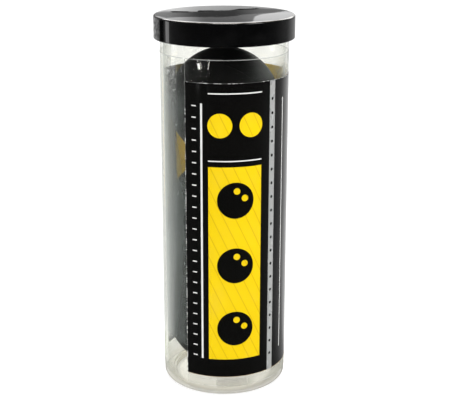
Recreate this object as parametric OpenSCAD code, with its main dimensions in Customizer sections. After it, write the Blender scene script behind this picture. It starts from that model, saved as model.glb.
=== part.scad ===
// Clear tube with a push-on lid and a printed wrap label, holding three squash balls.
// The origin is on the table under the tube's axis, +Z is up and the front of the label faces -Y.

/* [Squash ball] */
// Outer diameter of a ball
ball_d = 40; // [36:0.5:44]
// Thickness of a ball's rubber wall
ball_wall = 5.2; // [3:0.1:8]
// Thickness of the bond between a ball's two half shells
bond_t = 0.3; // [0.1:0.05:0.6]
// Diameter of a painted speed dot
speed_dot_d = 5; // [3:0.5:7]
// Thickness of a speed dot's paint
speed_dot_t = 0.08; // [0.05:0.01:0.2]
// Space between the two speed dots of a ball
speed_dot_gap = 3.5; // [1:0.5:8]

/* [Stack] */
// Play between a ball and the tube's bore, on each side
ball_play = 1.55; // [0.5:0.05:4]
// Clearance left where a ball leans towards the bore
lean_gap = 0.3; // [0.1:0.05:0.4]
// Clearance between two balls, and between the bottom ball and the floor
ball_gap = 0.2; // [0.1:0.05:0.5]
// Free height between the top ball and the underside of the lid
headroom = 10.3; // [5:0.1:20]

/* [Tube] */
// Thickness of the tube's wall and floor
tube_wall = 1.1; // [0.8:0.1:1.7]
// Radius of the tube's outer bottom edge
base_round = 2.3; // [2:0.1:3.5]
// Width of the flat ring that the tube stands on
foot_w = 2; // [1.5:0.1:4]
// Depth of the recess under the floor
base_recess = 2.6; // [1.5:0.1:6]
// Radius of the recess's inner corner
recess_round = 0.8; // [0.2:0.1:1.2]
// Radius of the mouth's outer edge
lip_round = 0.3; // [0.1:0.05:0.5]
// Radius of the rim bead outside the mouth
bead_r = 0.65; // [0.4:0.05:0.75]

/* [Lid] */
// Thickness of the lid's top
lid_top = 1.4; // [1:0.1:3]
// Thickness of the lid's skirt
skirt_wall = 1.2; // [0.9:0.1:2]
// Depth of the skirt below the tube's mouth
skirt_drop = 6.7; // [5:0.1:10]
// Radius of the lid's top edge
lid_round = 0.7; // [0.3:0.1:0.9]
// Radius of the skirt's bottom edge
skirt_round = 0.25; // [0.1:0.05:0.4]
// Radius of the snap ridge inside the skirt
ridge_r = 0.35; // [0.25:0.05:0.5]
// How far the snap ridge stands in from the skirt
ridge_rise = 0.2; // [0.1:0.05:0.25]
// Height of the snap ridge over the skirt's bottom edge
ridge_lift = 1.6; // [0.8:0.1:2]
// Clearance between the snap ridge and the rim bead as they pass
snap_pass = 0.1; // [0.05:0.05:0.3]
// Space left between the seated rim bead and the snap ridge
snap_seat = 0.5; // [0.1:0.1:0.8]
// Depth of the plug lip inside the mouth
plug_depth = 3; // [1.5:0.1:4]
// Thickness of the plug lip
plug_wall = 1; // [0.6:0.1:1.5]
// Clearance between the plug lip and the tube's bore
plug_play = 0.15; // [0.05:0.05:0.4]

/* [Label] */
// Thickness of the adhesive under the film
adhesive_t = 0.02; // [0.01:0.01:0.05]
// Thickness of the clear film
film_t = 0.12; // [0.05:0.01:0.3]
// Thickness of one layer of ink
ink_t = 0.05; // [0.02:0.01:0.1]
// Width of the gap where the film's two ends meet
seam_gap = 0.4; // [0.2:0.1:2]
// Height of the film's lower edge over the table
film_lift = 4; // [3:0.1:8]
// Distance from the tube's mouth down to the film's upper edge
film_drop = 11.1; // [8:0.1:16]
// Distance from the film's lower edge up to the print
print_lift = 3.7; // [1:0.1:8]
// Distance from the film's upper edge down to the print
print_drop = 7.85; // [1:0.1:12]

/* [Front print] */
// Distance from the bottom of the print to the front panel
front_foot = 7; // [3:0.5:12]
// Distance from the top of the front panel to the top of the print
front_head = 29; // [22:0.5:34]
// Diameter of the three discs on the front panel
disc_d = 13; // [8:0.5:15]
// Diameter of the two holes in each disc
disc_hole_d = 2.4; // [1:0.1:3]
// Space between the two holes of a disc
disc_hole_gap = 1.4; // [0.5:0.1:3]
// Distance of those holes from the disc's middle, along the line that halves them
disc_hole_off = 2.8; // [0:0.1:3.5]
// Diameter of the two dots over the front panel
badge_d = 8.5; // [4:0.5:10]
// Space between the two dots over the front panel
badge_gap = 2.5; // [1:0.5:6]

/* [Lines and strip] */
// Width of a heavy printed line
line_w = 0.7; // [0.4:0.1:1.2]
// Width of a fine printed line
fine_w = 0.4; // [0.2:0.1:0.6]
// Length of a tick
tick_l = 1.6; // [1:0.1:2.5]
// Distance from one tick to the next
tick_pitch = 4; // [2.5:0.5:8]
// Distance from a line's end to the edge of the print
line_margin = 7; // [2:0.5:12]
// Diameter of the holes along the silver strip
strip_hole_d = 1.1; // [0.6:0.1:1.5]
// Distance from one hole of the strip to the next
strip_pitch = 5; // [2.5:0.5:10]

/* [Back print] */
// Height of the back panel
back_h = 55; // [40:1:66]
// Length of the court drawing
court_l = 42; // [30:1:44]
// Diameter of the three rings under the back panel
ring_d = 12; // [8:0.5:14]
// Space between two of those rings
ring_gap = 4; // [2:0.5:6]
// Distance from the back panel down to the top of the rings
ring_drop = 13; // [6:0.5:20]

/* [Hidden] */
$fn = 96;

// Overrun of a cut past the surface that it opens
cut = 1;

// Bearings are in degrees, 0 at the front of the label and growing towards its right side
seam_at = -37.2;
print_from = -36;
print_to = 252;
front_from = -14;
front_to = 34;
back_from = 106;
back_to = 232;
strip_from = 43;
strip_to = 49.5;
left_rule_at = -20;
right_rule_at = 62;
tick_column_at = -27;

// Turn of the two holes about the middle of their disc
disc_hole_turn = 42;

// How each ball rests, from the bottom ball up: the bearing it leans to, the bearing and the rise
// that its dotted half faces, and the turn of its dots about that direction
lean_at = [254, 313, 184];
dots_bearing = [-126, -109, 152];
dots_rise = [-12, 8, 34];
dots_turn = [30, 75, 10];

// Court proportions, as shares of the court's length
court_width_share = 0.656;
short_line_share = 0.437;
service_box_share = 0.164;

// Sizes that follow from the ball
ball_r = ball_d / 2;
bore_r = ball_r + ball_play;
tube_r = bore_r + tube_wall;
recess_r = tube_r - base_round - foot_w;
floor_z = base_recess + tube_wall;
dot_pitch = speed_dot_d + speed_dot_gap;

// Places of the ball centres
lean = ball_play - lean_gap;
function bearing(a) = [sin(a), -cos(a)];
function lean_of(k) = lean * bearing(lean_at[k]);
function climb(k) = sqrt(pow(ball_d + ball_gap, 2) - pow(norm(lean_of(k) - lean_of(k - 1)), 2));
bottom_z = floor_z + ball_gap + ball_r;
middle_z = bottom_z + climb(1);
top_z = middle_z + climb(2);
ball_z = [bottom_z, middle_z, top_z];

// The mouth and what seats on it
mouth_z = top_z + ball_r + headroom;
skirt_z = mouth_z - skirt_drop;
ridge_z = skirt_z + ridge_lift;
bead_z = ridge_z + ridge_r + snap_seat + bead_r;
skirt_in_r = tube_r + bead_r + snap_pass + ridge_rise;
lid_r = skirt_in_r + skirt_wall;
plug_r = bore_r - plug_play;

// The label's layers and edges
film_r = tube_r + adhesive_t;
ink_r = film_r + film_t;
over_r = ink_r + ink_t;
film_top = mouth_z - film_drop;
print_z = film_lift + print_lift;
print_top = film_top - print_drop;
front_z = print_z + front_foot;
front_top = print_top - front_head;
back_z = print_top - back_h;

// Angle that a length takes up along the print
function arc(l) = l / ink_r * 180 / PI;

// Half section of a disc of revolution, with its bottom and top outer edges rounded
module disc_section(r, h, low = 0, high = 0) {
    square([r - low, h / 2]);
    translate([0, h / 2])
        square([r - high, h / 2]);
    translate([0, low])
        square([r, h - low - high]);
    if (low > 0)
        translate([r - low, low])
            circle(low);
    if (high > 0)
        translate([r - high, h - high])
            circle(high);
}

// Piece of the wrap between two bearings and two heights
module wrap_patch(from, to, low, high, r, t) {
    rotate([0, 0, from - 90])
        rotate_extrude(angle = to - from)
            translate([r, low])
                square([t, high - low]);
}

// Round piece of the wrap about a bearing and a height
module wrap_disc(at, z, d, r, t) {
    intersection() {
        wrap_patch(at - arc(d), at + arc(d), z - d, z + d, r, t);
        rotate([0, 0, at - 90])
            translate([0, 0, z])
                rotate([0, 90, 0])
                    cylinder(d = d, h = r + t + cut);
    }
}

// Ring on the wrap
module wrap_ring(at, z, d, w, r, t) {
    difference() {
        wrap_disc(at, z, d, r, t);
        wrap_disc(at, z, d - 2 * w, r - cut, t + 2 * cut);
    }
}

// Line on the wrap, along the tube and around it
module upright_line(at, low, high, w) {
    wrap_patch(at - arc(w) / 2, at + arc(w) / 2, low, high, over_r, ink_t);
}

module level_line(from, to, z, w) {
    wrap_patch(from, to, z - w / 2, z + w / 2, over_r, ink_t);
}

// Tube with its pushed-up floor, foot ring and rim bead
module tube() {
    color([0.88, 0.9, 0.9, 0.3])
        rotate_extrude()
            difference() {
                union() {
                    difference() {
                        disc_section(tube_r, mouth_z, base_round, lip_round);
                        translate([0, tube_wall])
                            disc_section(bore_r, mouth_z, base_round - tube_wall);
                    }
                    disc_section(recess_r + tube_wall, floor_z, 0, recess_round + tube_wall);
                    translate([tube_r, bead_z])
                        circle(bead_r);
                }
                translate([0, -cut])
                    disc_section(recess_r, base_recess + cut, 0, recess_round);
            }
}

// Lid with its skirt, snap ridge and plug lip
module lid() {
    color([0.03, 0.03, 0.03])
        rotate_extrude() {
            difference() {
                translate([0, skirt_z])
                    disc_section(lid_r, skirt_drop + lid_top, skirt_round, lid_round);
                translate([0, skirt_z - cut])
                    square([skirt_in_r, skirt_drop + cut]);
            }
            translate([skirt_in_r - ridge_rise + ridge_r, ridge_z])
                circle(ridge_r);
            translate([plug_r - plug_wall, mouth_z - plug_depth + plug_wall / 2])
                square([plug_wall, plug_depth]);
            translate([plug_r - plug_wall / 2, mouth_z - plug_depth + plug_wall / 2])
                circle(plug_wall / 2);
        }
}

// Clear film around the whole tube, open at its seam
module label_film() {
    color([0.92, 0.93, 0.93, 0.25])
        wrap_patch(seam_at + arc(seam_gap), seam_at + 360, film_lift, film_top, film_r, film_t);
}

// Openings in the black ground where the two panels are printed
module panel_openings() {
    wrap_patch(front_from, front_to, front_z, front_top, ink_r - cut, 2 * cut);
    wrap_patch(back_from, back_to, back_z, print_top + cut, ink_r - cut, 2 * cut);
}

module label_ground() {
    color([0.05, 0.05, 0.05])
        difference() {
            wrap_patch(print_from, print_to, print_z, print_top, ink_r, ink_t);
            panel_openings();
        }
}

module label_front_panel() {
    color([0.96, 0.82, 0.05])
        wrap_patch(front_from, front_to, front_z, front_top, ink_r, ink_t);
}

module label_back_panel() {
    color([0.96, 0.82, 0.05])
        wrap_patch(back_from, back_to, back_z, print_top, ink_r, ink_t);
}

// Disc with two holes side by side, turned up to its right, as on a ball seen askew
module holed_disc(at, z) {
    half_pitch = (disc_hole_d + disc_hole_gap) / 2;
    difference() {
        wrap_disc(at, z, disc_d, over_r, ink_t);
        for (side = [-1, 1]) {
            right = disc_hole_off * sin(disc_hole_turn) + side * half_pitch * cos(disc_hole_turn);
            up = disc_hole_off * cos(disc_hole_turn) - side * half_pitch * sin(disc_hole_turn);
            wrap_disc(at + arc(right), z + up, disc_hole_d, over_r - cut, 2 * cut);
        }
    }
}

// Three discs spread evenly up the front panel
module label_discs() {
    disc_step = (front_top - front_z) / 3;
    color([0.05, 0.05, 0.05])
        for (k = [0:2])
            holed_disc((front_from + front_to) / 2, front_z + (k + 0.5) * disc_step);
}

// Field between two bearings in either order, deeper than the ink by over on both sides
module court_field(a, b, low, high, over) {
    wrap_patch(min(a, b), max(a, b), low, high, over_r - over, ink_t + 2 * over);
}

// Lines of a service box, running out over the wall and the short line that they meet
module service_box(box_at, box_z, side, high) {
    line = arc(line_w);
    difference() {
        court_field(box_at - side * line, box_at + side * arc(court_l), box_z - line_w, high + cut, 2 * cut);
        court_field(box_at, box_at + side * arc(2 * court_l), box_z, high + 2 * cut, 3 * cut);
    }
}

// Plan of a court in lines: walls, short line, half court line and service boxes
module label_court() {
    middle = (back_from + back_to) / 2;
    half = arc(court_l * court_width_share) / 2;
    line = arc(line_w);
    low = (back_z + print_top - court_l) / 2;
    high = low + court_l;
    short_z = low + court_l * short_line_share;
    box_l = court_l * service_box_share;
    color([0.05, 0.05, 0.05])
        difference() {
            wrap_patch(middle - half, middle + half, low, high, over_r, ink_t);
            court_field(middle - half + line, middle + half - line, short_z + line_w, high - line_w, cut);
            for (side = [-1, 1])
                difference() {
                    court_field(middle + side * line / 2, middle + side * (half - line), low + line_w, short_z, cut);
                    service_box(middle + side * (half - line - arc(box_l)), short_z - box_l, side, short_z);
                }
        }
}

// Strip with a row of holes along it
module label_strip() {
    holes = floor((print_top - print_z) / strip_pitch) - 1;
    first_z = (print_z + print_top - (holes - 1) * strip_pitch) / 2;
    color([0.78, 0.79, 0.78])
        difference() {
            wrap_patch(strip_from, strip_to, print_z, print_top, over_r, ink_t);
            for (k = [0:holes - 1])
                wrap_disc((strip_from + strip_to) / 2, first_z + k * strip_pitch, strip_hole_d, over_r - cut, 2 * cut);
        }
}

// Column of ticks across a bearing
module tick_column(at) {
    ticks = floor((print_top - print_z - 2 * line_margin) / tick_pitch);
    first_z = (print_z + print_top - ticks * tick_pitch) / 2;
    for (k = [0:ticks])
        level_line(at - arc(tick_l) / 2, at + arc(tick_l) / 2, first_z + k * tick_pitch, fine_w);
}

// White lines: the print's left edge, two upright rules, two level rules, ticks and three rings
module label_lines() {
    ring_step = arc(ring_d + ring_gap);
    ring_z = back_z - ring_drop - ring_d / 2;
    color([0.95, 0.95, 0.94]) {
        wrap_patch(print_from, print_from + arc(fine_w), print_z, print_top, over_r, ink_t);
        upright_line(left_rule_at, print_z + line_margin, print_top - line_margin, line_w);
        upright_line(right_rule_at, print_z + line_margin, print_top - line_margin, fine_w);
        for (z = [front_top + line_w * 3, print_top - line_margin / 2])
            level_line(front_from, front_to, z, fine_w);
        tick_column(tick_column_at);
        for (k = [-1:1])
            wrap_ring((back_from + back_to) / 2 + k * ring_step, ring_z, ring_d, line_w, over_r, ink_t);
    }
}

// Two dots side by side over the front panel
module label_badge() {
    badge_z = (front_top + print_top) / 2;
    color([0.96, 0.82, 0.05])
        for (side = [-1, 1])
            wrap_disc((front_from + front_to) / 2 + side * arc(badge_d + badge_gap) / 2, badge_z, badge_d, over_r, ink_t);
}

// Puts a ball's parts, drawn about the origin with the dots on top, where ball k rests
module at_ball(k) {
    translate([lean_of(k)[0], lean_of(k)[1], ball_z[k]])
        rotate([0, 90 - dots_rise[k], dots_bearing[k] - 90])
            rotate([0, 0, dots_turn[k]])
                children();
}

// Hollow half of a ball, over or under its bond
module half_shell(side) {
    intersection() {
        difference() {
            sphere(ball_r);
            sphere(ball_r - ball_wall);
        }
        translate([0, 0, side * (bond_t + ball_d) / 2])
            cube([ball_d + cut, ball_d + cut, ball_d], center = true);
    }
}

module bond() {
    intersection() {
        difference() {
            sphere(ball_r);
            sphere(ball_r - ball_wall);
        }
        cube([ball_d + cut, ball_d + cut, bond_t], center = true);
    }
}

// Two painted dots on either side of the ball's pole
module speed_dots() {
    tilt = asin(dot_pitch / ball_d);
    for (side = [-1, 1])
        intersection() {
            difference() {
                sphere(ball_r + speed_dot_t);
                sphere(ball_r);
            }
            rotate([0, side * tilt, 0])
                cylinder(d = speed_dot_d, h = ball_d);
        }
}

module bottom_ball_dotted_half() {
    color([0.1, 0.1, 0.1])
        at_ball(0)
            half_shell(1);
}

module bottom_ball_plain_half() {
    color([0.1, 0.1, 0.1])
        at_ball(0)
            half_shell(-1);
}

module bottom_ball_bond() {
    color([0.05, 0.05, 0.05])
        at_ball(0)
            bond();
}

module bottom_ball_dots() {
    color([0.95, 0.85, 0.1])
        at_ball(0)
            speed_dots();
}

module middle_ball_dotted_half() {
    color([0.1, 0.1, 0.1])
        at_ball(1)
            half_shell(1);
}

module middle_ball_plain_half() {
    color([0.1, 0.1, 0.1])
        at_ball(1)
            half_shell(-1);
}

module middle_ball_bond() {
    color([0.05, 0.05, 0.05])
        at_ball(1)
            bond();
}

module middle_ball_dots() {
    color([0.95, 0.85, 0.1])
        at_ball(1)
            speed_dots();
}

module top_ball_dotted_half() {
    color([0.1, 0.1, 0.1])
        at_ball(2)
            half_shell(1);
}

module top_ball_plain_half() {
    color([0.1, 0.1, 0.1])
        at_ball(2)
            half_shell(-1);
}

module top_ball_bond() {
    color([0.05, 0.05, 0.05])
        at_ball(2)
            bond();
}

module top_ball_dots() {
    color([0.95, 0.85, 0.1])
        at_ball(2)
            speed_dots();
}

tube();
lid();
label_film();
label_ground();
label_front_panel();
label_back_panel();
label_discs();
label_court();
label_strip();
label_lines();
label_badge();
bottom_ball_dotted_half();
bottom_ball_plain_half();
bottom_ball_bond();
bottom_ball_dots();
middle_ball_dotted_half();
middle_ball_plain_half();
middle_ball_bond();
middle_ball_dots();
top_ball_dotted_half();
top_ball_plain_half();
top_ball_bond();
top_ball_dots();
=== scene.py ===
import math

import bmesh
import bpy
from mathutils import Matrix, Vector


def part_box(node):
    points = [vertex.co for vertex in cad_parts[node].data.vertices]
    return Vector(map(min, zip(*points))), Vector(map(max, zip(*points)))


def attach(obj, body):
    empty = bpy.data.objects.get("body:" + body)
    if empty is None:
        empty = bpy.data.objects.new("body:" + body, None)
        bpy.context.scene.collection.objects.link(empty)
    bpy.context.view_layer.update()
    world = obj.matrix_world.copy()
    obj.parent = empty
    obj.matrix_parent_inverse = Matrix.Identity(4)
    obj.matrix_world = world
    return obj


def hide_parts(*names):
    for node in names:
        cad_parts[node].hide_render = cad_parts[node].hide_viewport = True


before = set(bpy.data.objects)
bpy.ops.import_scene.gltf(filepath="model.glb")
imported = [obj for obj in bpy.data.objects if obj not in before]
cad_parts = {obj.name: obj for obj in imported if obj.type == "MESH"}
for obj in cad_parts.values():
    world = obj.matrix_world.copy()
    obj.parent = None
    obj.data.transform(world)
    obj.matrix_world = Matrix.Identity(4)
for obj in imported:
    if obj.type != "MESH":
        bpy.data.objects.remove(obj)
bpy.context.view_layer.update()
mm = 0.001


class Wire:
    # an output socket that can be used in sums; each operator adds its own Math node

    def __init__(self, board, socket):
        self.board = board
        self.socket = socket

    def math(self, operation, *values):
        return self.board.node("ShaderNodeMath", {"operation": operation}, dict(enumerate(values)))

    def of(self, operation, *others):
        # any function that has no operator, with this value first
        return self.math(operation, self, *others)

    def __add__(self, other):
        return self.math("ADD", self, other)

    def __radd__(self, other):
        return self.math("ADD", other, self)

    def __sub__(self, other):
        return self.math("SUBTRACT", self, other)

    def __rsub__(self, other):
        return self.math("SUBTRACT", other, self)

    def __mul__(self, other):
        return self.math("MULTIPLY", self, other)

    def __rmul__(self, other):
        return self.math("MULTIPLY", other, self)

    def __truediv__(self, other):
        return self.math("DIVIDE", self, other)

    def __rtruediv__(self, other):
        return self.math("DIVIDE", other, self)

    def __pow__(self, other):
        return self.math("POWER", self, other)

    def __gt__(self, other):
        return self.math("GREATER_THAN", self, other)

    def __lt__(self, other):
        return self.math("LESS_THAN", self, other)

    def output(self, name):
        return Wire(self.board, self.socket.node.outputs[name])


class Board:
    # a node tree that nodes are added to, one call each

    def __init__(self, tree):
        self.tree = tree

    def node(self, kind, settings=None, sockets=None, out=0):
        made = self.tree.nodes.new(kind)
        for name, value in (settings or {}).items():
            if name == "stops":
                ramp = made.color_ramp
                while len(ramp.elements) < len(value):
                    ramp.elements.new(0.5)
                for element, (place, colour) in zip(ramp.elements, value):
                    element.position = place
                    element.color = colour
            else:
                setattr(made, name, value)
        for key, value in (sockets or {}).items():
            if isinstance(value, Wire):
                self.tree.links.new(value.socket, made.inputs[key])
            else:
                made.inputs[key].default_value = value
        return Wire(self, made.outputs[out]) if made.outputs else made

    def shape(self, kind, *values, **sockets):
        # a geometry node, from values in the order of its sockets or by their names
        return self.node("GeometryNode" + kind, sockets={**dict(enumerate(values)), **sockets})

    def xyz(self, vector):
        parts = self.node("ShaderNodeSeparateXYZ", sockets={0: vector})
        return parts, parts.output("Y"), parts.output("Z")

    def between(self, value, span):
        # a smooth step from one end of a span to the other: 0 to 1, unless the span goes on with two levels
        low, high, start, end = (*span, 0.0, 1.0)[:4]
        return self.node("ShaderNodeMapRange", {"interpolation_type": "SMOOTHSTEP"}, {
            "Value": value, "From Min": low, "From Max": high, "To Min": start, "To Max": end})

    def within(self, value, span):
        # a smooth step up over the first two of four places in a row, and down over the last two
        return self.between(value, span[:2]) * self.between(value, (span[3], span[2]))


class Finish(Board):
    # a material

    def __init__(self, name):
        self.material = bpy.data.materials.new(name)
        self.material.use_nodes = True
        super().__init__(self.material.node_tree)
        self.tree.nodes.clear()
        self.point = self.node("ShaderNodeTexCoord", out="Object")
        self.x, self.y, self.z = self.xyz(self.point)

    def stretched(self, along, up=None):
        # the object's own coordinates, in pattern units of so many a metre
        size = (along, along, along if up is None else up)
        return self.node("ShaderNodeMapping", {"vector_type": "POINT"}, {"Vector": self.point, "Scale": size})

    def bearing(self):
        # radians round the tube from its front, more to the right
        return self.x.of("ARCTAN2", self.y * -1.0)

    def aroundAxis(self, radius):
        # distance round the tube from its front, and height, in millimetres
        return self.bearing() * radius, self.z * 1000.0

    def noise(self, size, up=None, detail=2.0, rough=0.5, seed=0.0):
        # so many features a metre along and up, or laid over a vector of its own
        vector = size if isinstance(size, Wire) else self.stretched(size, up)
        return self.node("ShaderNodeTexNoise", {"noise_dimensions": "4D"}, {
            "Vector": vector, "W": seed, "Scale": 1.0, "Detail": detail, "Roughness": rough})

    def cells(self, size):
        # distance to the nearest of many scattered points
        return self.node("ShaderNodeTexVoronoi", {"feature": "F1"}, {
            "Vector": self.stretched(size), "Randomness": 1.0})

    def blend(self, share, first, second):
        return self.node("ShaderNodeMix", {"data_type": "RGBA"}, {0: share, 6: first, 7: second}, out=2)

    def grey(self, level):
        return self.node("ShaderNodeCombineColor", sockets={0: level, 1: level, 2: level})

    def bump(self, height, distance, strength=1.0, normal=None):
        sockets = {"Height": height, "Distance": distance, "Strength": strength}
        if normal is not None:
            sockets["Normal"] = normal
        return self.node("ShaderNodeBump", sockets=sockets)

    def principled(self, **values):
        names = {"colour": "Base Color", "rough": "Roughness", "metal": "Metallic",
                 "shine": "Specular IOR Level", "normal": "Normal"}
        sockets = {names[key]: value for key, value in values.items()}
        return self.node("ShaderNodeBsdfPrincipled", sockets=sockets)

    def shader(self, kind, colour, **sockets):
        return self.node("ShaderNode" + kind, sockets={"Color": colour, **sockets})

    def either(self, share, first, second):
        return self.node("ShaderNodeMixShader", sockets={0: share, 1: first, 2: second})

    def milky(self, colour):
        # half of the light is scattered back and half is let through
        return self.either(0.5, self.shader("BsdfDiffuse", colour), self.shader("BsdfTranslucent", colour))

    def done(self, shader):
        self.node("ShaderNodeOutputMaterial", sockets={"Surface": shader})
        return self.material


def placed(name, data):
    # a new object in the scene
    made = bpy.data.objects.new(name, data)
    bpy.context.scene.collection.objects.link(made)
    return made


def newTree(name, inputs):
    tree = bpy.data.node_groups.new(name, "GeometryNodeTree")
    tree.interface.new_socket("Geometry", in_out="INPUT", socket_type="NodeSocketGeometry")
    for label, kind, value in inputs:
        socket = tree.interface.new_socket(label, in_out="INPUT", socket_type="NodeSocket" + kind)
        if value is not None:
            socket.default_value = value
    tree.interface.new_socket("Geometry", in_out="OUTPUT", socket_type="NodeSocketGeometry")
    board = Board(tree)
    return board, board.node("NodeGroupInput")


def runTree(board, mesh, name, values):
    # puts the mesh through a tree and keeps the plain mesh that comes out
    piece = placed(name, mesh)
    maker = piece.modifiers.new("maker", "NODES")
    maker.node_group = board.tree
    for item in board.tree.interface.items_tree:
        if item.in_out == "INPUT" and item.name in values:
            maker[item.identifier] = values[item.name]
    shown = piece.evaluated_get(bpy.context.evaluated_depsgraph_get())
    made = bpy.data.meshes.new_from_object(shown)
    piece.modifiers.clear()
    piece.data = made
    made.name = name
    bpy.data.meshes.remove(mesh)
    return piece


photoView = {"place": (0.26, -373.5, 182.4), "tiltDown": 17.03, "lens": 85.1, "sensor": 36,
             "clipStart": 0.01, "clipEnd": 20, "clearLayers": 32}

lensData = bpy.data.cameras.new("photoCamera")
lensData.lens = photoView["lens"]
lensData.sensor_width = photoView["sensor"]
lensData.clip_start = photoView["clipStart"]
lensData.clip_end = photoView["clipEnd"]
photoCamera = placed("photoCamera", lensData)
photoCamera.location = Vector(photoView["place"]) * mm
photoCamera.rotation_euler = (math.radians(90 - photoView["tiltDown"]), 0, 0)
bpy.context.scene.camera = photoCamera
bpy.context.scene.view_settings.view_transform = "Standard"
bpy.context.scene.cycles.transparent_max_bounces = photoView["clearLayers"]
print("camera placed")

weldWithin = 1e-6      # metres, for points that fall together


def turningTree():
    # turns a profile about the upright axis
    board, given = newTree("turnedPiece", [
        ("Segments", "Int", 128), ("Crease", "Float", 0.6), ("Finish", "Material", None)])
    around = given.output("Segments")
    ring = board.node("FunctionNodeIntegerMath", {"operation": "ADD"}, {0: around, 1: 1})
    count = board.node("GeometryNodeAttributeDomainSize", {"component": "MESH"}, {0: given})
    grid = board.node("GeometryNodeMeshGrid", sockets={"Vertices X": count, "Vertices Y": ring})
    index = board.shape("InputIndex")
    which = board.node("FunctionNodeIntegerMath", {"operation": "DIVIDE_FLOOR"}, {0: index, 1: ring})
    step = board.node("FunctionNodeIntegerMath", {"operation": "MODULO"}, {0: index, 1: ring})
    place = board.node("GeometryNodeSampleIndex", {"data_type": "FLOAT_VECTOR"},
                       {0: given, 1: board.shape("InputPosition"), 2: which})
    turned = board.node("ShaderNodeVectorRotate", {"rotation_type": "Z_AXIS"}, {
        "Vector": place, "Angle": step * (2 * math.pi) / around})
    shape = board.shape("SetPosition", Geometry=grid, Position=turned)
    shape = board.shape("MergeByDistance", Geometry=shape, Distance=weldWithin)
    shape = smoothed(board, given, shape)
    return board, board.node("GeometryNodeSetMaterial", sockets={0: shape, 2: given.output("Finish")})


def smoothed(board, given, shape):
    # smooth all over but for its sharp edges, as plain geometry
    shape = board.node("GeometryNodeSetShadeSmooth", {"domain": "FACE"}, {0: shape})
    sharp = board.shape("InputMeshEdgeAngle") > given.output("Crease")
    shape = board.node("GeometryNodeSetShadeSmooth", {"domain": "EDGE"}, {0: shape, 1: sharp, 2: False})
    return board.shape("RealizeInstances", shape)


turner, turnedShape = turningTree()
turner.node("NodeGroupOutput", sockets={0: turnedShape})


def wrappingTree():
    # repeats a flat print, wraps it round the tube and gives it its thickness
    board, given = newTree("wrappedPrint", [
        ("Count", "Int", 1), ("Step", "Vector", (0, 0, 0)), ("Radius", "Float", 0.0228),
        ("Thickness", "Float", 0.00005), ("Crease", "Float", 0.6), ("Finish", "Material", None),
        ("Edge", "Material", None), ("Inside", "Material", None)])
    line = board.node("GeometryNodeMeshLine", {"mode": "OFFSET"}, {
        "Count": given.output("Count"), "Offset": given.output("Step")})
    copies = board.shape("InstanceOnPoints", Points=line, Instance=given)
    flat = board.shape("RealizeInstances", copies)
    flat = board.shape("MergeByDistance", Geometry=flat, Distance=weldWithin)
    radius = given.output("Radius")
    along, _, up = board.xyz(board.shape("InputPosition"))
    angle = along / radius
    wrapped = board.node("ShaderNodeCombineXYZ", sockets={
        0: radius * angle.of("SINE"), 1: -1.0 * radius * angle.of("COSINE"), 2: up})
    inner = board.shape("SetPosition", Geometry=flat, Position=wrapped)
    raised = board.node("GeometryNodeExtrudeMesh", {"mode": "FACES"}, {
        "Mesh": inner, "Offset Scale": 0.0, "Individual": False})
    grow = 1.0 + given.output("Thickness") / radius
    out = board.node("ShaderNodeVectorMath", {"operation": "MULTIPLY"}, {
        0: board.shape("InputPosition"),
        1: board.node("ShaderNodeCombineXYZ", sockets={0: grow, 1: grow, 2: 1.0})})
    outer = board.node("GeometryNodeSetPosition", sockets={
        "Geometry": raised, "Selection": raised.output("Top"), "Position": out})
    under = board.shape("FlipFaces", inner)
    both = board.shape("JoinGeometry")
    for shell in (outer, under):
        board.tree.links.new(shell.socket, both.socket.node.inputs[0])
    whole = board.shape("MergeByDistance", Geometry=both, Distance=weldWithin)
    whole = smoothed(board, given, whole)
    whole = board.node("GeometryNodeSetMaterial", sockets={0: whole, 2: given.output("Inside")})
    for faces, kind in (("Top", "Finish"), ("Side", "Edge")):
        whole = board.node("GeometryNodeSetMaterial", sockets={
            0: whole, 1: raised.output(faces), 2: given.output(kind)})
    return board, whole


wrapper, wrappedShape = wrappingTree()
wrapper.node("NodeGroupOutput", sockets={0: wrappedShape})
print("node trees ready")


def bend(centre, radius, start, end, steps):
    # points of a rounded corner, in millimetres and degrees
    turns = [math.radians(start + (end - start) * k / steps) for k in range(steps + 1)]
    return [(centre[0] + radius * math.cos(t), centre[1] + radius * math.sin(t)) for t in turns]


def straight(start, end, steps):
    # points between two ends, without them
    shares = [k / steps for k in range(1, steps)]
    return [(start[0] + (end[0] - start[0]) * t, start[1] + (end[1] - start[1]) * t) for t in shares]


def profileMesh(points):
    mesh = bpy.data.meshes.new("profile")
    mesh.from_pydata([(r * mm, 0, z * mm) for r, z in points], [(k, k + 1) for k in range(len(points) - 1)], [])
    return mesh


def outwards(piece):
    # closed shells point outwards when the volume they enclose comes out positive
    build = bmesh.new()
    build.from_mesh(piece.data)
    if build.calc_volume(signed=True) < 0:
        bmesh.ops.reverse_faces(build, faces=build.faces)
        build.to_mesh(piece.data)
    build.free()
    return piece


def turned(name, points, finish, segments=256, crease=0.6):
    values = {"Segments": segments, "Crease": crease, "Finish": finish}
    return outwards(runTree(turner, profileMesh(points), name, values))


def roundedBox(low, high, corner=0.0, steps=6):
    # outline of a box with rounded corners, as points (along, up)
    (a, b), (c, d) = low, high
    if corner <= 0:
        return [(a, b), (c, b), (c, d), (a, d)]
    left, foot, right, top = a + corner, b + corner, c - corner, d - corner
    centres = ((right, foot), (right, top), (left, top), (left, foot))
    return [point for k, centre in enumerate(centres)
            for point in bend(centre, corner, 90 * k - 90, 90 * k, steps)]


def circle(centre, diameter, steps=64):
    return bend(centre, diameter / 2, 0, 360 - 360 / steps, steps - 1)


sheetSteps = 256      # facets that a sheet has to the full turn


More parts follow.
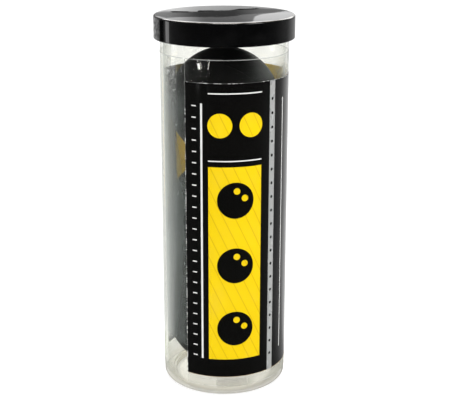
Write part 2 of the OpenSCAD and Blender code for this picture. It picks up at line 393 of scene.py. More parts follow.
def flatSheet(outlines, radius):
    # a flat print from closed outlines, the first round the rest, cut into upright slices so that it wraps
    build = bmesh.new()
    for outline in outlines:
        corners = [build.verts.new((x * mm, 0, z * mm)) for x, z in outline]
        for first, second in zip(corners, corners[1:] + corners[:1]):
            build.edges.new((first, second))
    bmesh.ops.triangle_fill(build, use_beauty=True, use_dissolve=False, edges=build.edges[:], normal=(0, -1, 0))
    facet = 2 * math.pi * radius * mm / sheetSteps
    places = [v.co.x for v in build.verts]
    for k in range(math.floor(min(places) / facet) + 1, math.ceil(max(places) / facet)):
        bmesh.ops.bisect_plane(
            build, geom=build.verts[:] + build.edges[:] + build.faces[:], dist=1e-8,
            plane_co=(k * facet, 0, 0), plane_no=(1, 0, 0))
    for face in build.faces:
        face.normal_update()
        if face.normal.y > 0:
            face.normal_flip()
    mesh = bpy.data.meshes.new("sheet")
    build.to_mesh(mesh)
    build.free()
    return mesh


def wrapped(name, outlines, radius, thick, finish, edge=None, inside=None, count=1, step=(0, 0)):
    values = {"Count": count, "Step": (step[0] * mm, 0, step[1] * mm), "Radius": radius * mm,
              "Thickness": thick * mm, "Finish": finish, "Edge": edge or finish, "Inside": inside or finish}
    return runTree(wrapper, flatSheet(outlines, radius), name, values)


def joined(name, pieces):
    # one object from several made the same way
    build = bmesh.new()
    for piece in pieces:
        build.from_mesh(piece.data)
    mesh = bpy.data.meshes.new(name)
    for material in pieces[0].data.materials:
        mesh.materials.append(material)
    build.to_mesh(mesh)
    build.free()
    for piece in pieces:
        old = piece.data
        bpy.data.objects.remove(piece)
        bpy.data.meshes.remove(old)
    return placed(name, mesh)


def fitted(piece, body, slot, *nodes):
    # a finished piece takes its place on its body
    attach(piece, body)
    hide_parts(*nodes)
    return piece


# what the two clear sheets share: spans of height or of place across in metres, or of a noise's level
sheetLook = {
    "head": 0.036, "edgePower": 6.0, "glossTint": (0.98, 0.985, 0.975, 1), "wornGrey": (0.7, 0.71, 0.69, 1),
    "waveFlat": 0.3, "waveStrength": 0.35, "calmHigh": (0.112, 0.117, 1.0, 0.35),
    "scratchSize": (2600, 90), "scratchLevel": (0.66, 0.74), "scratchDeep": 0.02,
    "footGlance": (0.0165, 0.0195, 0.35, 1.0), "footDull": (0.0085, 0.006, 0.0, 0.4),
    "footTinted": (0.0045, 0.003), "lean": 0.15, "highUp": (0.1175, 0.1188), "rightSide": (0.01, 0.016),
    "highClearer": 0.8, "speck": (0.09, 0.05), "dustLevel": (0.5, 0.7), "dustUp": (0.004, 0.03, 0.15, 1.0),
}

tubeLook = {
    **sheetLook,
    "radius": 22.65, "bore": 21.55, "recess": 18.35, "baseRound": 2.3, "baseRise": 2.6, "recessRound": 0.8,
    "floor": 3.7, "wall": 1.1, "lipRound": 0.3, "beadRadius": 0.65, "beadHeight": 130.92, "gateRadius": 1.4,
    "gateRise": 0.35,
    "tint": (0.986, 0.986, 0.973, 1), "edgeTint": (0.86, 0.87, 0.79, 1), "gloss": 0.03,
    "wave": 70, "waveDeep": 0.0006, "dustSize": 420, "dust": 0.35, "dustGrey": (0.62, 0.63, 0.6, 1),
    "seed": 3.0, "haze": 0.58, "hazeGrey": (0.69, 0.77, 0.76, 1), "footTint": (0.915, 0.905, 0.865, 1),
    "footGrey": (0.93, 0.92, 0.86, 1), "footShade": (0.25, 0.24, 0.2, 1),
    # where the bore is scuffed
    "boreSlack": 0.3, "hazeUp": [(0.0165, 0.0195, 0.12, 1.0), (0.02, 0.065, 0.72, 1.0),
                                 (0.076, 0.105, 1.3, 1.05), (0.112, 0.121, 1.0, 0.5)],
    "steepLow": (0.07, 0.1, 0.75, 1.0), "steepHigh": (0.106, 0.116), "steepLeft": (0.012, 0.004),
    "strokeLevel": (0.68, 0.74), "strokeClouds": (0.5, 0.62), "strokeUp": (0.118, 0.112), "stroke": 0.25,
    "unwornAt": 0.0895, "unwornHalf": (0.011, 0.006), "unwornRound": (-0.96, -0.83), "unworn": 0.42,
    # the milky foot and the painted shade in its milk: spans of height, and of radians round the tube
    "footUp": (0.0095, 0.006), "footMilk": 0.36, "clearSide": (-1.93, -1.84, -0.66, -0.6), "clearer": 0.12,
    "underPrint": (-0.19, -0.08, 0.2, 0.8), "underUp": (0.0028, 0.004, 0.0085, 0.0095), "underMilk": 0.12,
    "outlineUp": (0.0032, 0.0022), "outlineFront": 0.004, "outlineMilk": 0.35, "shade": 0.35,
    "backSide": (-1.9, -2.05), "backShade": 0.3,
    # the rubbed patch by the mouth, in millimetres round the tube and up
    "scuffRound": (-11.6, -10.6, -9.2, -8.4), "scuffUp": (125.2, 126.0, 127.2, 128.2),
    "scuffLevel": (0.42, 0.6), "scuff": 0.14,
}


def clearPlastic(name, look, marks=None, scuffs=None, filling=None):
    # marks is a relief, scuffs a share of pale wear and filling a milky layer that only this sheet has
    finish = Finish(name)
    waves = finish.noise(look["wave"], look["wave"] * look["waveFlat"], detail=1.0, seed=look["seed"])
    scratch = finish.between(finish.noise(*look["scratchSize"], seed=look["seed"] + 4.0), look["scratchLevel"])
    height = (waves - 0.5 + scratch * look["scratchDeep"]) * finish.between(finish.z, look["calmHigh"])
    if marks:
        height = height + marks(finish)
    relief = finish.bump(height, look["waveDeep"], look["waveStrength"])
    # how much it mirrors: little when looked at squarely, much when looked along
    facing = finish.node("ShaderNodeLayerWeight", sockets={"Blend": 0.5, "Normal": relief}, out="Facing")
    glance = facing ** 5.0 * (1.0 - look["head"]) + look["head"]
    glance = glance * finish.between(finish.z, look["footGlance"])
    # its upper right stays clearer along the wall's edge
    highRight = finish.between(finish.z + finish.y * look["lean"], look["highUp"])
    highRight = highRight * finish.between(finish.x, look["rightSide"])
    through = finish.either(
        facing ** look["edgePower"] * (1.0 - highRight * look["highClearer"]),
        finish.shader("BsdfTransparent", look["tint"]), finish.shader("BsdfTransparent", look["edgeTint"]))
    if "footTint" in look:
        low = finish.between(finish.z, look["footTinted"])
        through = finish.either(low, through, finish.shader("BsdfTransparent", look["footTint"]))
    rough = look["gloss"] + finish.between(finish.z, look["footDull"])
    gloss = finish.shader("BsdfGlossy", look["glossTint"], Roughness=rough, Normal=relief)
    shown = finish.either(glance, through, gloss)
    if filling:
        shown = filling(finish, look, facing, highRight, shown)
    if scuffs:
        shown = finish.either(scuffs(finish), shown, finish.principled(colour=look["wornGrey"], rough=0.4))
    # dust specks caught on it
    clouds = finish.between(finish.noise(60, seed=look["seed"] + 8.0), look["dustLevel"])
    dust = finish.between(finish.cells(look["dustSize"]), look["speck"]) * clouds
    dust = dust * finish.between(finish.z, look["dustUp"])
    grey = finish.principled(colour=look["dustGrey"], rough=0.6)
    return finish.done(finish.either(dust * look["dust"], shown, grey))


def tubeProfile(look, top):
    radius, bore, recess = look["radius"], look["bore"], look["recess"]
    rise, soft, bead, lip = look["baseRise"], look["recessRound"], look["beadRadius"], look["lipRound"]
    wall, floor, base = look["wall"], look["floor"], look["baseRound"]
    inside, corner = base - wall, radius - base
    points = [(0, rise + look["gateRise"]), (look["gateRadius"] * 0.6, rise + look["gateRise"])]
    points += [(look["gateRadius"], rise), *straight((look["gateRadius"], rise), (recess - soft, rise), 8)]
    points += bend((recess - soft, rise - soft), soft, 90, 0, 8)
    points += [(recess, 0), (corner, 0)]
    points += bend((corner, base), base, -90, 0, 16)[1:]
    points += straight((radius, base), (radius, look["beadHeight"] - bead), 24)
    points += bend((radius, look["beadHeight"]), bead, -90, 90, 12)
    points += bend((radius - lip, top - lip), lip, 0, 90, 6)
    points += [(bore, top), *straight((bore, top), (bore, base), 24)]
    points += bend((bore - inside, base), inside, 0, -90, 10)
    step = recess + wall
    points += [(step, wall)]
    points += bend((step - soft - wall, floor - soft - wall), soft + wall, 0, 90, 10)
    points += [*straight((step - soft - wall, floor), (0, floor), 8), (0, floor)]
    return points


def tubeMilk(finish, look, facing, highRight, shown):
    # rubber has scuffed the bore where the balls sit, which shows most along the wall's edge
    height, angle = finish.z, finish.bearing()
    away, wall = (finish.x * finish.x + finish.y * finish.y) ** 0.5, (look["bore"] + look["boreSlack"]) * mm
    bore = away < wall
    for span in look["hazeUp"]:
        bore = bore * finish.between(height, span)
    steep = finish.between(finish.x, look["steepLeft"]) * finish.between(height, look["steepHigh"])
    steep = finish.between(height, look["steepLow"]) + steep
    streaks = finish.noise(420, 60, detail=3.0, rough=0.6, seed=31.0)
    strokes = finish.between(finish.noise(1500, 420, detail=1.0, seed=33.0), look["strokeLevel"])
    strokes = strokes * finish.between(finish.noise(90, seed=35.0), look["strokeClouds"])
    strokes = strokes * finish.between(height, look["strokeUp"])
    # and less between two balls, where nothing rubs it
    unworn = finish.between((height - look["unwornAt"]).of("ABSOLUTE"), look["unwornHalf"])
    unworn = unworn * finish.between(angle, look["unwornRound"])
    bore = bore * (1.0 - unworn * look["unworn"]) * (1.0 - highRight * 0.9)
    share = facing ** steep * look["haze"] * (streaks * 0.5 + 0.75) + strokes * look["stroke"]
    shown = finish.either(bore * share, shown, finish.milky(look["hazeGrey"]))
    # the foot is moulded thicker and is milky; its milk is darkened as painted shade where the print shades it
    # and along its round
    clearSide = finish.within(angle, look["clearSide"])
    under = finish.within(angle, look["underPrint"]) * finish.within(height, look["underUp"])
    outline = facing ** 2.0 * finish.between(height, look["outlineUp"]) * (finish.y < look["outlineFront"])
    foot = (away > wall) * finish.between(height, look["footUp"])
    foot = foot * (under * look["underMilk"] + outline * look["outlineMilk"] + look["footMilk"]
                   - clearSide * look["clearer"])
    # painted shade in the milk, least on the clear side and towards the back-left
    shade = (1.0 - clearSide) * (look["shade"] - finish.between(angle, look["backSide"]) * look["backShade"])
    shade = shade.of("MAXIMUM", under).of("MAXIMUM", outline)
    return finish.either(foot, shown, finish.milky(finish.blend(shade, look["footGrey"], look["footShade"])))


def tubeScuffs(finish):
    # a rubbed patch by the mouth, beside the film's seam
    look = tubeLook
    around, height = finish.aroundAxis(look["radius"])
    patch = finish.within(around, look["scuffRound"]) * finish.within(height, look["scuffUp"])
    rubbed = finish.noise(620, 900, detail=3.0, rough=0.65, seed=51.0)
    return patch * finish.between(rubbed, look["scuffLevel"]) * look["scuff"]


clearTube = clearPlastic("clearTube", tubeLook, scuffs=tubeScuffs, filling=tubeMilk)
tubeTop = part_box("tube")[1].z / mm
tubeWall = turned("tubeWall", tubeProfile(tubeLook, tubeTop), clearTube)
fitted(tubeWall, "tube", "clear_plastic", "tube")
print("tube made:", len(tubeWall.data.polygons), "faces")


lidLook = {
    "radius": 24.8, "inside": 23.6, "skirtRound": 0.25, "topRound": 0.7, "plug": 21.4, "plugWall": 1.0,
    "plugDepth": 3.0, "ridgeRadius": 0.35, "ridgeIn": 0.2, "ridgeHeight": 129.42, "creaseHold": 0.06,
    "black": (0.0012, 0.0013, 0.0014, 1), "worn": (0.007, 0.007, 0.007, 1), "rimWearAndHighlight": (0.24, 0.22, 0.185, 1),
    "rough": 0.02, "dome": 0.055, "waveDeep": 0.00025, "fineDeep": 0.000002, "hairDeep": -0.8,
    "hairLevel": (0.985, 1.0), "hairClouds": (0.5, 0.62), "dullLevel": (0.45, 0.75),
    # in metres: heights of the top and its rim, and distances from the axis
    "topFrom": 0.1354, "rimFrom": 0.1352, "rimAway": (0.02418, 0.0243, 0.0245, 0.02462),
    "rimLevel": (0.36, 0.6, 0.35, 1.0), "rimLeft": (-0.0235, -0.015, 0.2, 1.0),
    "roundAway": (0.02415, 0.02435), "roundUp": (0.1351, 0.1353),
}


def lidPlastic(look):
    finish = Finish("lidPlastic")
    # the moulded top is a little wavy, and handling has left hairline scratches
    waves = finish.noise(42, detail=1.5, rough=0.4, seed=5.0)
    fine = finish.noise(900, detail=3.0, seed=2.0)
    swirl = finish.node("ShaderNodeTexWave", {"wave_type": "BANDS", "bands_direction": "DIAGONAL"}, {
        "Vector": finish.stretched(800), "Scale": 1.0, "Distortion": 9.0, "Detail": 3.0, "Detail Scale": 0.6})
    hairs = finish.between(swirl, look["hairLevel"])
    hairs = hairs * finish.between(finish.noise(160, seed=9.0), look["hairClouds"])
    square = finish.x * finish.x + finish.y * finish.y
    away = square ** 0.5
    waves = waves * (finish.z > look["topFrom"]) * look["waveDeep"]
    relief = finish.bump(square * (-look["dome"] / (2 * look["radius"] * mm)) + waves, 1.0)
    relief = finish.bump(fine + hairs * look["hairDeep"], look["fineDeep"], 0.4, relief)
    dulled = finish.between(finish.noise(120, detail=4.0, seed=1.0), look["dullLevel"])
    colour = finish.blend(dulled * 0.5 + hairs * 0.5, look["black"], look["worn"])
    # the rim of the top is pale in a broken line, part rubbed wear and part painted highlight, and least at its
    # left
    rim = finish.within(away, look["rimAway"]) * (finish.z > look["rimFrom"])
    rim = rim * finish.between(finish.noise(260, detail=3.0, seed=23.0), look["rimLevel"])
    rim = rim * finish.between(finish.x, look["rimLeft"])
    colour = finish.blend(rim, colour, look["rimWearAndHighlight"])
    rounded = finish.between(away, look["roundAway"]) * finish.between(finish.z, look["roundUp"])
    rough = look["rough"] + dulled * 0.02 + hairs * 0.1 + rounded * 0.06
    return finish.done(finish.principled(colour=colour, rough=rough, shine=0.5, normal=relief))


def lidProfile(look, low, top, seat):
    radius, inside, soft = look["radius"], look["inside"], look["topRound"]
    ridge, edge, plug = look["ridgeRadius"], look["skirtRound"], look["plug"]
    tip = look["plugWall"] / 2
    ridgeAt = (inside - look["ridgeIn"] + ridge, look["ridgeHeight"])
    swing = math.degrees(math.acos((ridgeAt[0] - inside) / ridge))
    points = [(0, top), *straight((0, top), (radius - soft, top), 16)]
    points += bend((radius - soft, top - soft), soft, 90, 0, 12)
    hold = look["creaseHold"]      # a short facet beside each round keeps its shading tight
    points += [(radius, top - soft - hold), *straight((radius, top - soft), (radius, low + edge), 4)]
    points += [(radius, low + edge + hold)]
    points += bend((radius - edge, low + edge), edge, 0, -90, 6)
    points += [(inside, low)]
    points += bend(ridgeAt, ridge, -180 + swing, -180 - swing, 8)
    points += [(inside, seat), (plug, seat)]
    points += bend((plug - tip, seat - look["plugDepth"] + tip), tip, 0, -180, 8)
    core = plug - look["plugWall"]
    points += [(core, seat), *straight((core, seat), (0, seat), 6), (0, seat)]
    return points


glossBlack = lidPlastic(lidLook)
lidLow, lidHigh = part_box("lid")
lidShell = turned("lidShell", lidProfile(lidLook, lidLow.z / mm, lidHigh.z / mm, tubeTop), glossBlack)
fitted(lidShell, "lid", "lid_plastic", "lid")
print("lid made:", len(lidShell.data.polygons), "faces")


labelLook = {
    "filmRadius": 22.67, "filmThick": 0.12, "filmCorner": 0.6, "inkThick": 0.05, "inkSink": 0.01,
    "seamAt": -37.2, "seamGap": 0.4, "printFrom": -36, "printTo": 252,
    "frontFrom": -14, "frontTo": 34, "backFrom": 106, "backTo": 232, "stripFrom": 43, "stripTo": 49.5,
    "leftRule": -20, "rightRule": 62, "tickColumn": -27,
    "corner": 0.7, "discSize": 13, "discHole": 2.4, "discHoleGap": 1.4, "discHoleOff": 2.8, "discHoleTurn": 42,
    "badgeSize": 8.5, "badgeGap": 2.5, "heavy": 0.7, "fine": 0.4, "tick": 1.6, "tickPitch": 4, "margin": 7,
    "stripHole": 1.1, "stripPitch": 5, "courtLength": 42, "courtWidth": 0.656, "shortLine": 0.437,
    "serviceBox": 0.164, "ringSize": 12, "ringGap": 4, "ringDrop": 13,
    "sideEdge": 0.48, "topEdge": 0.28, "footEdge": 0.25,      # shares of a fine line
}
inkRadius = labelLook["filmRadius"] + labelLook["filmThick"]
overRadius = inkRadius + labelLook["inkThick"]


def at(bearing, radius=inkRadius):
    # how far round the wrap a bearing lies, in millimetres
    return radius * math.radians(bearing)


def heights(node):
    low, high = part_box(node)
    return low.z / mm, high.z / mm


# spans are in millimetres round the wrap and up, or a noise's levels
filmLook = {
    **sheetLook,
    "tint": (0.992, 0.993, 0.986, 1), "edgeTint": (0.88, 0.9, 0.83, 1), "gloss": 0.025,
    "wave": 60, "waveDeep": 0.0007, "dustSize": 560, "dust": 0.4, "dustGrey": (0.66, 0.67, 0.64, 1),
    "seed": 8.0, "creaseRound": (-27.0, -17.0, -7.0, -2.0), "creaseUp": (108.0, 116.0),
    "creaseLevel": (0.45, 0.6), "crease": 0.35,
    "cutTop": (0.26, 0.2), "cutFoot": (0.24, 0.18), "cutLevel": (0.38, 0.62, 0.12, 0.7),
    "seamHalf": (0.14, 0.08), "seamLevel": (0.4, 0.6, 0.25, 0.9), "seamUp": (104.0, 118.0, 0.3, 1.0),
    "streakRound": (-25.0, -23.2, -21.8, -20.4), "streakUp": (114.5, 117.5), "streakLevel": (0.4, 0.62),
    "streak": 0.34, "lineHalf": (0.11, 0.05), "lineLevel": (0.35, 0.55), "line": 0.4,
    # long scratches: place round the wrap at the foot, slope, height of the foot and of the top
    "lines": [(-23.6, 0.34, 112.6, 118.6), (-18.2, -0.42, 114.2, 117.4), (-21.0, 0.12, 90.0, 96.0),
              (-24.6, 0.06, 60.0, 74.0)],
    "edgeDark": (0.5, 0.51, 0.48, 1), "edgePale": (0.8, 0.81, 0.78, 1), "edgeClear": (0.9, 0.9, 0.88, 1),
    "edgeTop": (0.1, 0.05), "edgeSpots": (0.54, 0.62, 0.03, 0.4),
}


def drawnCreases(finish):
    # creases where the film was drawn round, high on the left of the print
    look = filmLook
    around, height = finish.aroundAxis(labelLook["filmRadius"])
    patch = finish.within(around, look["creaseRound"]) * finish.between(height, look["creaseUp"])
    crease = finish.noise(330, 150, detail=3.0, rough=0.6, seed=4.0)
    return finish.between(crease, look["creaseLevel"]) * patch * look["crease"]


def filmScuffs(finish):
    # pale cut edges, a scuffed streak at the top of the clear window and a few long scratches in it
    look = filmLook
    around, height = finish.aroundAxis(labelLook["filmRadius"])
    low, high = heights("label_film")
    rag = finish.noise(420, detail=3.0, seed=14.0)
    slow = finish.between(finish.noise(75, detail=1.0, seed=16.0), look["cutLevel"])
    cut = finish.between(height, [high - inset for inset in look["cutTop"]])
    cut = cut + finish.between(height, [low + inset for inset in look["cutFoot"]])
    start = at(labelLook["seamAt"], labelLook["filmRadius"]) + labelLook["seamGap"]
    seam = finish.between((around - start - 0.1).of("ABSOLUTE"), look["seamHalf"])
    seam = seam * finish.between(rag, look["seamLevel"])
    cut = cut * slow + seam * finish.between(height, look["seamUp"])
    share = cut.of("MINIMUM", 1.0) * (rag * 0.5 + 0.4)
    streak = finish.within(around, look["streakRound"]) * finish.between(height, look["streakUp"])
    rubbed = finish.noise(700, 500, detail=3.0, rough=0.65, seed=52.0)
    share = share + streak * finish.between(rubbed, look["streakLevel"]) * look["streak"]
    for place, slope, foot, top in look["lines"]:
        line = (around - place - (height - foot) * slope).of("ABSOLUTE")
        line = finish.between(line, look["lineHalf"]) * (height > foot) * (height < top)
        share = share + line * finish.between(rag, look["lineLevel"]) * look["line"]
    return share


def filmEdge(look):
    # the cut edge of the film scatters light, so it shows as a thin pale line
    finish = Finish("filmEdge")
    uneven = finish.noise(500, seed=6.0)
    pale = finish.principled(colour=finish.blend(uneven, look["edgeDark"], look["edgePale"]), rough=0.35)
    top = finish.between(finish.z * 1000.0, [heights("label_film")[1] - inset for inset in look["edgeTop"]])
    spots = finish.between(uneven, look["edgeSpots"])
    share = spots + (0.45 + uneven * 0.4 - spots) * top
    return finish.done(finish.either(share, finish.shader("BsdfTransparent", look["edgeClear"]), pale))


def ink(name, look):
    # varnished ink: fine print grain, a slow drift of tone, an orange-peel varnish and handling marks
    finish = Finish(name)
    around, height = finish.aroundAxis(inkRadius)
    grain, drift = finish.noise(5200, seed=1.0), finish.noise(46, seed=2.0)
    tone = (grain - 0.5) * look["grain"] + (drift - 0.5) * look["drift"] + 0.5 + look["lift"]
    if "stripes" in look:
        slant = (around + height * look["slant"]) / look["stripePitch"]
        tone = tone + finish.within(slant.of("FRACT"), look["stripe"]) * look["stripes"]
    colour = finish.blend(tone, look["dark"], look["light"])
    peel = finish.noise(700, 420, detail=1.0, seed=3.0)
    slow = finish.noise(55, 16, detail=1.0, seed=12.0)
    relief = finish.bump(slow, look["slowDeep"], 0.25, finish.bump(peel, look["peelDeep"], look["peel"]))
    rubbed = finish.between(finish.noise(210, 90, detail=4.0, seed=5.0), look["rubLevel"])
    shown = finish.principled(colour=colour, rough=look["rough"] + rubbed * look["rub"], metal=look["metal"],
                              shine=look["shine"], normal=relief)
    if "glow" in look:
        # light from outside soaks through this thin ink into the tube
        path = finish.node("ShaderNodeLightPath", out="Is Shadow Ray")
        shown = finish.either(path * look["glow"], shown, finish.shader("BsdfTransparent", look["soaked"]))
    return finish.done(shown)


backLook = {"level": (0.3, 0.7), "paintedShadeUp": (106.0, 113.0), "paintedShadeRound": (-20.0, -45.0), "paintedShadeDepth": 0.85,
            "paintedShade": (0.05, 0.048, 0.04, 1), "soaks": 0.82, "paintedShadeSoaks": 0.72}


def inkBack(name, colour, light, seed, look=backLook):
    # the print's inner side, seen through the film and the tube, with painted shade near its top at the
    # back-left, where it also lets less light through
    finish = Finish(name)
    around, height = finish.aroundAxis(inkRadius)
    tone = finish.blend(finish.between(finish.noise(130, detail=3.0, seed=seed), look["level"]), colour, light)
    # painted shade: darker and less translucent near the top at the back-left
    paintedShade = finish.between(height, look["paintedShadeUp"]) * finish.between(around, look["paintedShadeRound"])
    tone = finish.blend(paintedShade * look["paintedShadeDepth"], tone, look["paintedShade"])
    front = finish.principled(colour=tone, rough=0.7, shine=0.2)
    share = look["soaks"] - paintedShade * look["paintedShadeSoaks"]
    return finish.done(finish.either(share, front, finish.shader("BsdfTranslucent", light)))


inkBase = {"peel": 0.3, "peelDeep": 0.00002, "slowDeep": 0.0005, "rub": 0.1, "rubLevel": (0.5, 0.72),
           "shine": 0.5, "metal": 0.0, "lift": 0.0}
inkLooks = {
    "blackInk": {"dark": (0.0014, 0.0014, 0.0013, 1), "light": (0.0042, 0.0041, 0.0036, 1),
                 "grain": 0.5, "drift": 0.6, "rough": 0.1},
    "yellowInk": {"dark": (0.62, 0.37, 0.002, 1), "light": (0.9, 0.65, 0.002, 1), "grain": 0.2, "drift": 0.2,
                  "lift": 0.3, "stripes": -0.55, "stripe": (0.0, 0.035, 0.085, 0.12), "slant": 0.476,
                  "stripePitch": 4.0, "rough": 0.14, "shine": 0.4, "glow": 0.9, "soaked": (1.0, 0.94, 0.45, 1)},
    "whiteInk": {"dark": (0.7, 0.7, 0.68, 1), "light": (0.88, 0.88, 0.86, 1), "grain": 0.3, "drift": 0.3,
                 "rough": 0.16},
    "silverInk": {"dark": (0.4, 0.41, 0.4, 1), "light": (0.66, 0.67, 0.66, 1), "grain": 0.7, "drift": 0.3,
                  "metal": 0.35, "peel": 0.4, "rough": 0.24},
}
blackInk, yellowInk, whiteInk, silverInk = (ink(name, {**inkBase, **look}) for name, look in inkLooks.items())
yellowBack = inkBack("yellowInkBack", (0.86, 0.69, 0.1, 1), (1.0, 0.84, 0.22, 1), 41.0)
blackBack = inkBack("blackInkBack", (0.012, 0.012, 0.012, 1), (0.03, 0.03, 0.028, 1), 43.0)


tornLook = {"level": (0.48, 0.57), "bare": (0.1, 0.1, 0.096, 1), "white": (0.88, 0.88, 0.86, 1),
            "foot": (0.6, 0.4), "footBrown": (0.5, 0.37, 0.23, 1)}


def brokenWhite(look):
    # white run along the cut of the print, worn through to the black in places and browned at its foot
    finish = Finish("brokenWhite")
    share = finish.between(finish.noise(300, 620, detail=4.0, rough=0.7, seed=21.0), look["level"])
    low = finish.between(finish.z * 1000.0, [heights("label_ground")[0] + inset for inset in look["foot"]])
    colour = finish.blend(low, finish.blend(share, look["bare"], look["white"]), look["footBrown"])
    return finish.done(finish.principled(colour=colour, rough=0.2 + share * 0.15))


def makeLabel(look):
    film, torn = clearPlastic("clearFilm", filmLook, drawnCreases, filmScuffs), brokenWhite(tornLook)
    thick, sink, corner, margin = (look[key] for key in ("inkThick", "inkSink", "corner", "margin"))
    heavy, fine = look["heavy"], look["fine"]
    over, overThick, under = overRadius - sink, thick + sink, inkRadius + sink / 2
    (printLow, printHigh), (frontLow, frontHigh), (backLow, backHigh), (filmLow, filmHigh) = (
        heights("label_" + node) for node in ("ground", "front_panel", "back_panel", "film"))

    def inner(key):
        # how far round the wrap lies a bearing that the look names
        return at(look[key])

    def outer(key):
        # and in the prints over the ground
        return at(look[key], over)

    def ground(name, outlines, finish, inside, slot, node):
        piece = wrapped(name, outlines, under, thick - sink / 2, finish, inside=inside)
        fitted(piece, "tube", slot, node)

    def overprint(name, outlines, finish, count=1, step=(0, 0)):
        return wrapped(name, outlines, over, overThick, finish, count=count, step=step)

    def block(left, low, right, high):
        return roundedBox((left, low), (right, high))

    seam, filmRadius = look["seamAt"] + math.degrees(look["seamGap"] / inkRadius), look["filmRadius"]
    outline = roundedBox((at(seam, filmRadius), filmLow), (at(look["seamAt"] + 360, filmRadius), filmHigh),
                         look["filmCorner"])
    piece = wrapped("labelFilm", [outline], filmRadius, look["filmThick"], film, filmEdge(filmLook))
    fitted(piece, "tube", "clear_film", "label_film")

    # black ground, notched for the back panel and open for the front one
    outline = roundedBox((inner("printFrom"), printLow), (inner("printTo"), printHigh), corner)
    half = len(outline) // 2
    notch = [(inner("backTo"), printHigh), (inner("backTo"), backLow),
             (inner("backFrom"), backLow), (inner("backFrom"), printHigh)]
    frontBox = block(inner("frontFrom"), frontLow, inner("frontTo"), frontHigh)
    backBox = block(inner("backFrom"), backLow, inner("backTo"), backHigh)
    ground("labelGround", [outline[:half] + notch + outline[half:], frontBox], blackInk, blackBack,
           "black_ink", "label_ground")
    ground("labelFrontPanel", [frontBox], yellowInk, yellowBack, "yellow_ink", "label_front_panel")
    ground("labelBackPanel", [backBox], yellowInk, yellowBack, "yellow_ink", "label_back_panel")

    # discs up the front panel, each with two holes turned up to its right
    middle = at((look["frontFrom"] + look["frontTo"]) / 2, over)
    pitch, turn = (frontHigh - frontLow) / 3, math.radians(look["discHoleTurn"])
    half, off = (look["discHole"] + look["discHoleGap"]) / 2, look["discHoleOff"]
    centre = (middle, frontLow + pitch / 2)
    holes = [circle((centre[0] + off * math.sin(turn) + side * half * math.cos(turn),
                     centre[1] + off * math.cos(turn) - side * half * math.sin(turn)), look["discHole"], 32)
             for side in (-1, 1)]
    discs = [circle(centre, look["discSize"], 96), *holes]
    fitted(overprint("labelDiscs", discs, blackInk, 3, (0, pitch)), "tube", "black_ink", "label_discs")

    # two dots over the front panel
    pitch = look["badgeSize"] + look["badgeGap"]
    dot = circle((middle - pitch / 2, (frontHigh + printHigh) / 2), look["badgeSize"], 72)
    fitted(overprint("labelBadge", [dot], yellowInk, 2, (pitch, 0)), "tube", "yellow_ink", "label_badge")

    # silver strip: cells with a hole each, and a plain end above and below them
    left, right, pitch = outer("stripFrom"), outer("stripTo"), look["stripPitch"]
    cells = math.floor((printHigh - printLow) / pitch) - 1
    first = (printLow + printHigh - cells * pitch) / 2
    hole = circle(((left + right) / 2, first + pitch / 2), look["stripHole"], 24)
    row = overprint("stripRow", [block(left, first, right, first + pitch), hole], silverInk, cells, (0, pitch))
    ends = overprint("stripEnds", [block(left, printLow, right, first)], silverInk, 2, (0, printHigh - first))
    fitted(joined("labelStrip", [row, ends]), "tube", "silver_ink", "label_strip")

    # worn white along the print's cut edges
    a = outer("printFrom")
    edges = {
        "sideEdge": block(a, printLow + corner, a + fine * look["sideEdge"], printHigh - corner),
        "topEdge": block(a + corner, printHigh - fine * look["topEdge"], outer("backFrom") - corner, printHigh),
        "footEdge": block(a + corner, printLow, outer("printTo") - corner, printLow + fine * look["footEdge"])}
    edge = joined("printEdge", [overprint(name, [outline], torn) for name, outline in edges.items()])
    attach(edge, "tube")

    # white rules, ticks and rings
    lines = []
    for name, width in (("leftRule", heavy), ("rightRule", fine)):
        x = outer(name)
        rule = block(x - width / 2, printLow + margin, x + width / 2, printHigh - margin)
        lines.append(overprint(name, [rule], whiteInk))
    level = frontHigh + heavy * 3
    rule = block(outer("frontFrom"), level - fine / 2, outer("frontTo"), level + fine / 2)
    lines.append(overprint("levelRules", [rule], whiteInk, 2, (0, printHigh - margin / 2 - level)))
    pitch, long = look["tickPitch"], look["tick"]
    ticks = math.floor((printHigh - printLow - 2 * margin) / pitch)
    x, z = outer("tickColumn"), (printLow + printHigh - ticks * pitch) / 2
    tick = block(x - long / 2, z - fine / 2, x + long / 2, z + fine / 2)
    lines.append(overprint("ticks", [tick], whiteInk, ticks + 1, (0, pitch)))
    middle = at((look["backFrom"] + look["backTo"]) / 2, over)
    size, pitch = look["ringSize"], look["ringSize"] + look["ringGap"]
    centre = (middle - pitch, backLow - look["ringDrop"] - size / 2)
    rings = [circle(centre, size, 96), circle(centre, size - 2 * heavy, 96)]
    lines.append(overprint("rings", rings, whiteInk, 3, (pitch, 0)))
    fitted(joined("labelLines", lines), "tube", "white_ink", "label_lines")

    # court plan on the back panel: its outline, its far field and a service box and a quarter to each side
    length, line = look["courtLength"], heavy
    half, box = length * look["courtWidth"] / 2, length * look["serviceBox"]
    low = (backLow + printHigh - length) / 2
    high, short = low + length, low + length * look["shortLine"]
    fields = [block(middle - half + line, short + line, middle + half - line, high - line)]
    for side in (-1, 1):
        by, wall = middle + side * line / 2, middle + side * (half - line)
        boxAt, foot = wall - side * box, short - box - line
        fields.append([(boxAt, short - box), (wall, short - box), (wall, short), (boxAt, short)])
        fields.append([(by, low + line), (wall, low + line), (wall, foot), (boxAt - side * line, foot),
                       (boxAt - side * line, short), (by, short)])
    court = [block(middle - half, low, middle + half, high), *fields]
    fitted(overprint("labelCourt", court, blackInk), "tube", "black_ink", "label_court")


makeLabel(labelLook)
print("label made")


